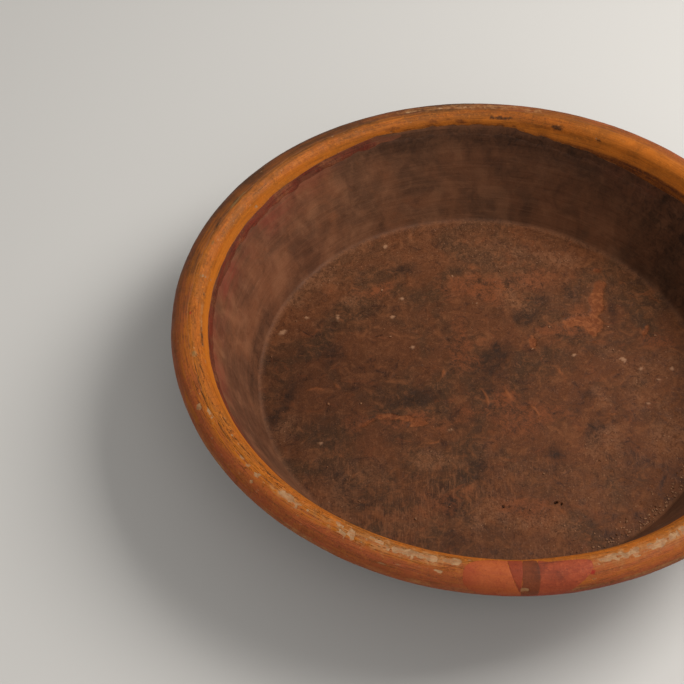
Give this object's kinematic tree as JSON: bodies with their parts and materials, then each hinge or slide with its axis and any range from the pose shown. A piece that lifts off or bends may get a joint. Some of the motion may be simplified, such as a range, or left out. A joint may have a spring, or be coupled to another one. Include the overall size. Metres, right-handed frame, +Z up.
{
  "type": "turned wooden bowl",
  "caption": "Shallow round turned wooden bowl with a flared wall, a rolled rim painted in ochre and russet, and a low foot ring; holds dry food.",
  "frame": {"origin": "centre of the foot's underside, on the surface the bowl stands on", "axes": "+Z up along the bowl's turning axis; -Y towards the painted patch on the rim"},
  "size_m": [0.34, 0.3407, 0.0757],
  "materials": {
    "turned_wood": "bare turned hardwood, darkened with age",
    "inside_lacquer": "thin brown lacquer, rubbed and scarred, satin",
    "lip_maroon": "worn maroon paint, satin",
    "clay_ground": "pale chalk and clay ground, matt",
    "ochre_paint": "ochre orange paint, satin",
    "dark_line_paint": "thin dark line, satin",
    "russet_paint": "russet brown paint, satin",
    "outside_maroon": "dark maroon paint, satin",
    "reserve_red": "salmon red paint, matt",
    "reserve_dark_red": "deeper red paint, matt",
    "reserve_brown": "brown paint, matt",
    "reserve_pink": "pinkish red paint, matt",
    "rear_brown": "brown paint, matt"
  },
  "bodies": {
    "root": {"turned_wood_body": "turned_wood", "inside_lacquer": "inside_lacquer", "lip_maroon_band": "lip_maroon", "rim_clay_ground": "clay_ground", "rim_ochre_paint": "ochre_paint", "rim_dark_line": "dark_line_paint", "rim_russet_paint": "russet_paint", "outside_maroon_paint": "outside_maroon", "reserve_left_lobe": "reserve_red", "reserve_dark_stroke": "reserve_dark_red", "reserve_centre_bar": "reserve_brown", "reserve_right_lobe": "reserve_pink", "rear_brown_patch": "rear_brown"}
  },
  "joints": []
}
